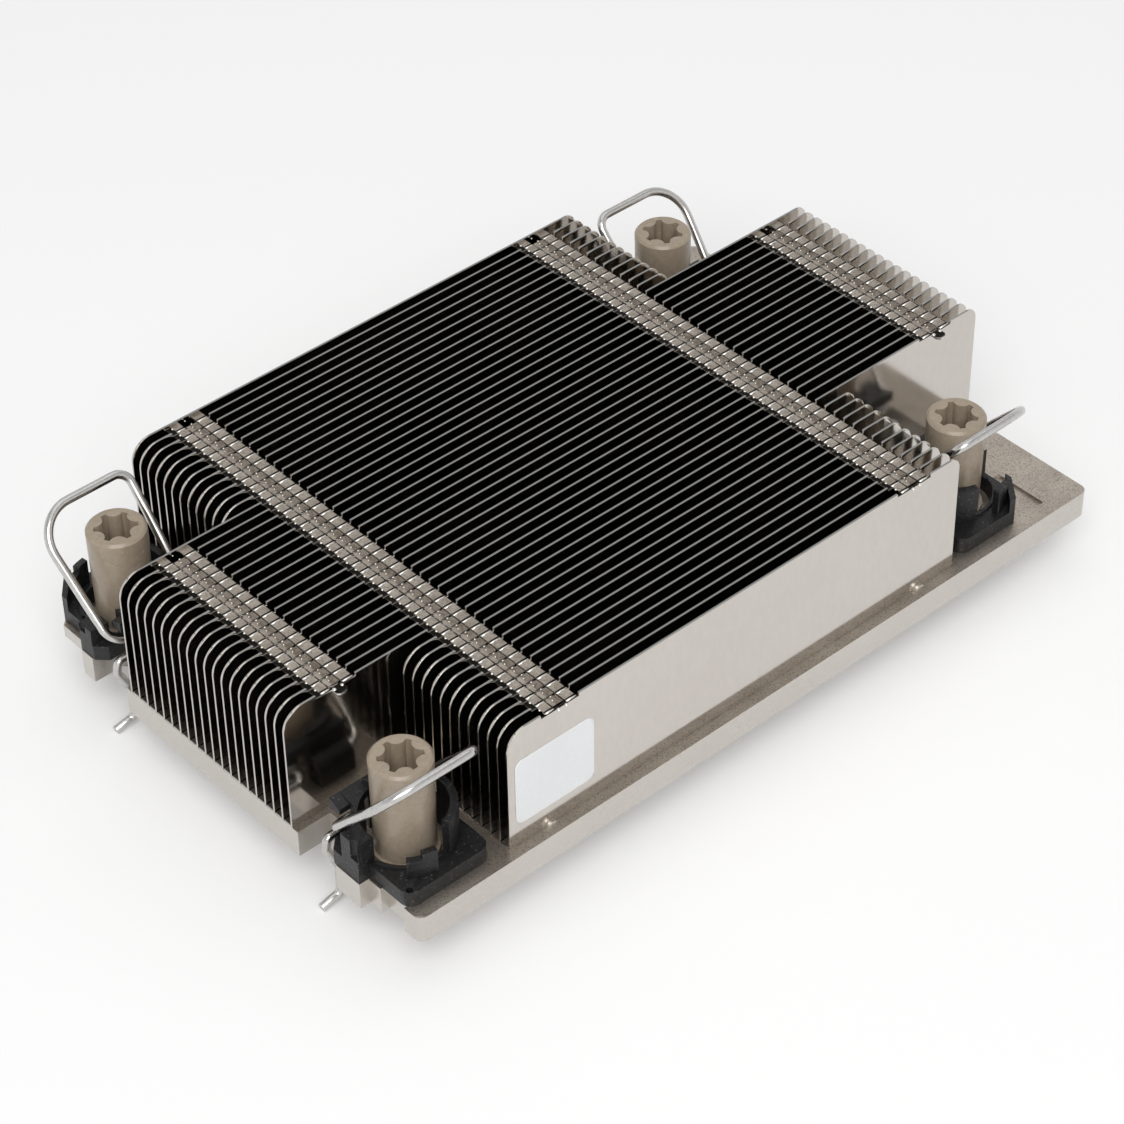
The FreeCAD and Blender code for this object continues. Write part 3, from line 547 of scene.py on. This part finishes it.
def extruded(form, points, front, back):
    """A closed sheet from an outline in X and Z, between two places in Y."""
    rims = [[form.verts.new((x, y, z)) for x, z in points] for y in (front, back)]
    form.faces.new(rims[0])
    form.faces.new(reversed(rims[1]))
    for index in range(len(points)):
        after = (index + 1) % len(points)
        form.faces.new((rims[0][after], rims[0][index], rims[1][index], rims[1][after]))


def rectangle(left, right, low, high):
    return [(left, low), (left, high), (right, high), (right, low)]


def front_fin():
    """The wall, with the foot and a tab at each lock strip, which fold back towards the next fin."""
    left, right = side_low.x, side_high.x
    wall_back = first_wall + FIN_GAUGE
    fold_end = wall_back + FOOT_REACH
    form = bmesh.new()
    extruded(form, fin_outline(left, right), first_wall, wall_back)
    extruded(form, rectangle(left, right, fin_foot, fin_foot + FIN_GAUGE), wall_back, fold_end)
    for start in strips(False):
        tab = rectangle(start + LEFT_TAB[0], start + RIGHT_TAB[1], strip_top - FIN_GAUGE, strip_top)
        extruded(form, tab, wall_back, fold_end)
    bmesh.ops.recalc_face_normals(form, faces=form.faces)
    mesh = bpy.data.meshes.new("front_fin")
    form.to_mesh(mesh)
    form.free()
    mesh.materials.append(fin_metal)
    fin = bpy.data.objects.new("front_fin", mesh)
    bpy.context.scene.collection.objects.link(fin)
    soften(fin, 0.02, segments=1)
    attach(fin, "heatsink")
    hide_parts(FINS[0])


# Lock strips: tabs folded forward from each fin, the bends' ridges with a painted highlight, and the punch's
# burrs

def tab_plate(tree, ends, lower=0.0):
    """A flat tab over the gap in front of its fin, between two places along X."""
    plate = add_node(tree, "GeometryNodeMeshCube",
                     {"Size": (ends[1] - ends[0], TAB_REACH + BEND_PLACE, TAB_GAUGE)})
    middle = ((ends[0] + ends[1]) / 2, (BEND_PLACE - TAB_REACH) / 2, -lower - TAB_GAUGE / 2)
    return add_node(tree, "GeometryNodeTransform", {"Geometry": plate.outputs["Mesh"],
                                                    "Translation": middle}).outputs[0]


def bend_ridge(tree, ends):
    """The round bend at a tab's root, lying along X."""
    ridge = add_node(tree, "GeometryNodeMeshCylinder", {"Vertices": 10, "Radius": BEND_RADIUS,
                                                        "Depth": ends[1] - ends[0]})
    middle = ((ends[0] + ends[1]) / 2, BEND_PLACE, TAB_LIFT - BEND_RADIUS)
    return add_node(tree, "GeometryNodeTransform", {"Geometry": ridge.outputs["Mesh"], "Translation": middle,
                                                    "Rotation": (0, math.pi / 2, 0)}).outputs[0]


def burr(tree, place, stretch):
    """A small bead of torn metal, its place in millimetres."""
    ball = add_node(tree, "GeometryNodeMeshUVSphere", {"Segments": 8, "Rings": 5, "Radius": BURR_RADIUS})
    return add_node(tree, "GeometryNodeTransform", {
        "Geometry": ball.outputs["Mesh"], "Translation": [MM * part for part in place],
        "Scale": stretch}).outputs[0]


def strip_tree(name, parts, tilt, smooth):
    """The parts on every fin of a strip, each fin's turned a little at random.

    Each point is a strip's first fin, and its count attribute the number of fins that have the parts.
    A roll turns about the strip's left end, so it is held to a part of the lift at the right end.
    """
    tree, source, result = geometry_tree(name, [
        ("Pitch", "float", fin_pitch), ("Seed", "int", 7), ("Finish", "material", None)])
    count = add_node(tree, "GeometryNodeInputNamedAttribute", {"Name": "count"}, data_type="INT")
    rows = add_node(tree, "GeometryNodeDuplicateElements",
                    {"Geometry": source.outputs["Geometry"], "Amount": count.outputs["Attribute"]},
                    domain="POINT")
    step = maths(tree, "MULTIPLY", rows.outputs["Duplicate Index"], source.outputs["Pitch"])
    lined = add_node(tree, "GeometryNodeSetPosition",
                     {"Geometry": rows.outputs["Geometry"],
                      "Offset": add_node(tree, "ShaderNodeCombineXYZ", {"Y": step}).outputs[0]})
    join = tree.nodes.new("GeometryNodeJoinGeometry")
    for part in parts(tree):
        tree.links.new(part, join.inputs[0])
    turn = add_node(tree, "FunctionNodeRandomValue", {"Seed": source.outputs["Seed"]},
                    data_type="FLOAT_VECTOR")
    roll = min(tilt, ROLL_SHARE * TAB_LIFT / RIGHT_TAB[1])
    turn.inputs[0].default_value = (-tilt, -roll, 0)
    turn.inputs[1].default_value = (tilt, roll, 0)
    placed = add_node(tree, "GeometryNodeInstanceOnPoints",
                      {"Points": lined.outputs[0], "Instance": join.outputs[0], "Rotation": turn.outputs[0]})
    return close_tree(tree, result, placed.outputs[0], source.outputs["Finish"], smooth)


def strip_piece(name, tree, finish, front=1, back=0, most=len(FINS)):
    """The tree's parts on each strip, but for its first fins (front) and last ones (back)."""
    rows = [(start, 0, last_fin) if start in strips(False) else (start, first_full, last_full)
            for start in strips(True)]
    mesh = bpy.data.meshes.new(name)
    mesh.from_pydata([(start, wall_of(first + front), tab_top) for start, first, _ in rows], [], [])
    counts = mesh.attributes.new("count", "INT", "POINT")
    counts.data.foreach_set("value", [min(last - first + 1 - front - back, most)
                                      for _, first, last in rows])
    piece = made_by(name, mesh, tree, {"Finish": finish})
    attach(piece, "heatsink")


def lock_strips():
    tabs = strip_tree("strip tabs", lambda tree: [tab_plate(tree, LEFT_TAB), tab_plate(tree, RIGHT_TAB)],
                      TAB_TILT, False)
    tongues = strip_tree("strip tongues", lambda tree: [tab_plate(tree, TONGUE, TONGUE_DROP)],
                         TAB_TILT, False)
    bends = strip_tree("strip bends", lambda tree: [bend_ridge(tree, LEFT_TAB), bend_ridge(tree, RIGHT_TAB)],
                       RIDGE_TILT, True)
    burrs = strip_tree("punch burrs", lambda tree: [burr(tree, *spot) for spot in PUNCH_BURRS],
                       RIDGE_TILT, True)
    hooks = strip_tree("front hooks", lambda tree: [burr(tree, *spot) for spot in FRONT_HOOKS], 0.0, True)
    strip_piece("strip_tabs", tabs, tab_metal)
    strip_piece("strip_tongues", tongues, tab_metal, back=1)
    # The bends take the burrs' bright colour as a painted highlight on their ridges
    strip_piece("strip_bends", bends, burr_and_highlight_metal, front=0)
    strip_piece("strip_burrs", burrs, burr_and_highlight_metal)
    strip_piece("front_hooks", hooks, burr_and_highlight_metal, front=0, most=1)


front_fin()
lock_strips()


# Floor, light and camera

def build_floor():
    """A white floor that keeps the object's shadow; a little glow for the camera and the metal whitens it."""
    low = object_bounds()[0].z
    mesh = bpy.data.meshes.new("floor")
    corners = [(x * FLOOR_REACH, y * FLOOR_REACH, low) for x, y in ((-1, -1), (1, -1), (1, 1), (-1, 1))]
    mesh.from_pydata(corners, [], [(0, 1, 2, 3)])
    floor = bpy.data.objects.new("floor", mesh)
    bpy.context.scene.collection.objects.link(floor)
    material, tree, shader = new_material("floor")
    shader.inputs["Base Color"].default_value = (FLOOR_TONE, FLOOR_TONE, FLOOR_TONE, 1)
    shader.inputs["Roughness"].default_value = 0.8
    shader.inputs["Specular IOR Level"].default_value = 0.2
    shader.inputs["Emission Color"].default_value = (1, 1, 1, 1)
    seen = add_node(tree, "ShaderNodeLightPath")
    either = maths(tree, "MAXIMUM", seen.outputs["Is Camera Ray"], seen.outputs["Is Glossy Ray"])
    shown = maths(tree, "MAXIMUM", either, seen.outputs["Is Transmission Ray"])
    tree.links.new(maths(tree, "MULTIPLY", shown, FLOOR_GLOW), shader.inputs["Emission Strength"])
    mesh.materials.append(material)


def build_world():
    """White behind the object; what the metal mirrors falls off from the horizon to a dimmer ceiling."""
    world = bpy.data.worlds.new("studio")
    bpy.context.scene.world = world
    world.use_nodes = True
    tree = world.node_tree
    tree.nodes.clear()
    path = add_node(tree, "ShaderNodeLightPath")
    direction = add_node(tree, "ShaderNodeTexCoord").outputs["Generated"]
    height = add_node(tree, "ShaderNodeSeparateXYZ", {0: direction}).outputs["Z"]
    ceiling = ramp(tree, height, 0.1, 0.8, 1.0, CEILING)
    mirrored = maths(tree, "MAXIMUM", path.outputs["Is Glossy Ray"], path.outputs["Is Transmission Ray"])
    unseen = ramp(tree, mirrored, 0.0, 1.0, AMBIENT, ceiling)
    strength = add_node(tree, "ShaderNodeMix", {"Factor": path.outputs["Is Camera Ray"],
                                                "A": unseen, "B": 1.0})
    shade = add_node(tree, "ShaderNodeBackground", {"Color": (1, 1, 1, 1), "Strength": strength.outputs[0]})
    out = tree.nodes.new("ShaderNodeOutputWorld")
    tree.links.new(shade.outputs[0], out.inputs["Surface"])


def softbox(name, place, size, power):
    """A rectangular lamp that faces the middle of the object."""
    lamp = bpy.data.lights.new(name, "AREA")
    lamp.shape = "RECTANGLE"
    lamp.size, lamp.size_y = size
    lamp.energy = power
    box = bpy.data.objects.new(name, lamp)
    box.location = place
    box.rotation_euler = (-Vector(place)).to_track_quat("-Z", "Y").to_euler()
    bpy.context.scene.collection.objects.link(box)


def build_camera():
    """The photograph's viewpoint, found from the corners of the base, fins and nuts."""
    turn, tilt, roll = (math.radians(part) for part in (CAMERA_TURN, CAMERA_TILT, CAMERA_ROLL))
    back = Vector((math.sin(turn) * math.cos(tilt), -math.cos(turn) * math.cos(tilt), math.sin(tilt)))
    right = Vector((math.cos(turn), math.sin(turn), 0))
    up = back.cross(right)
    side = math.cos(roll) * right + math.sin(roll) * up
    head = math.cos(roll) * up - math.sin(roll) * right
    camera = bpy.data.cameras.new("camera")
    camera.sensor_width = SENSOR_WIDTH
    camera.lens = SENSOR_WIDTH * FOCAL_PIXELS / PICTURE_PIXELS
    camera.clip_start = 0.01
    camera.clip_end = 20
    eye = bpy.data.objects.new("camera", camera)
    spot = back * CAMERA_DISTANCE + side * CAMERA_SIDE + head * CAMERA_HEAD
    eye.matrix_world = Matrix.Translation(spot) @ Matrix((side, head, back)).transposed().to_4x4()
    bpy.context.scene.collection.objects.link(eye)
    bpy.context.scene.camera = eye


build_floor()
build_world()
softbox("key", (-0.5, -0.55, 0.85), (0.8, 0.8), 8.0)
softbox("overhead", (0.15, 0.15, 0.9), (0.9, 0.9), 1.4)
build_camera()
bpy.context.scene.view_settings.view_transform = "Standard"
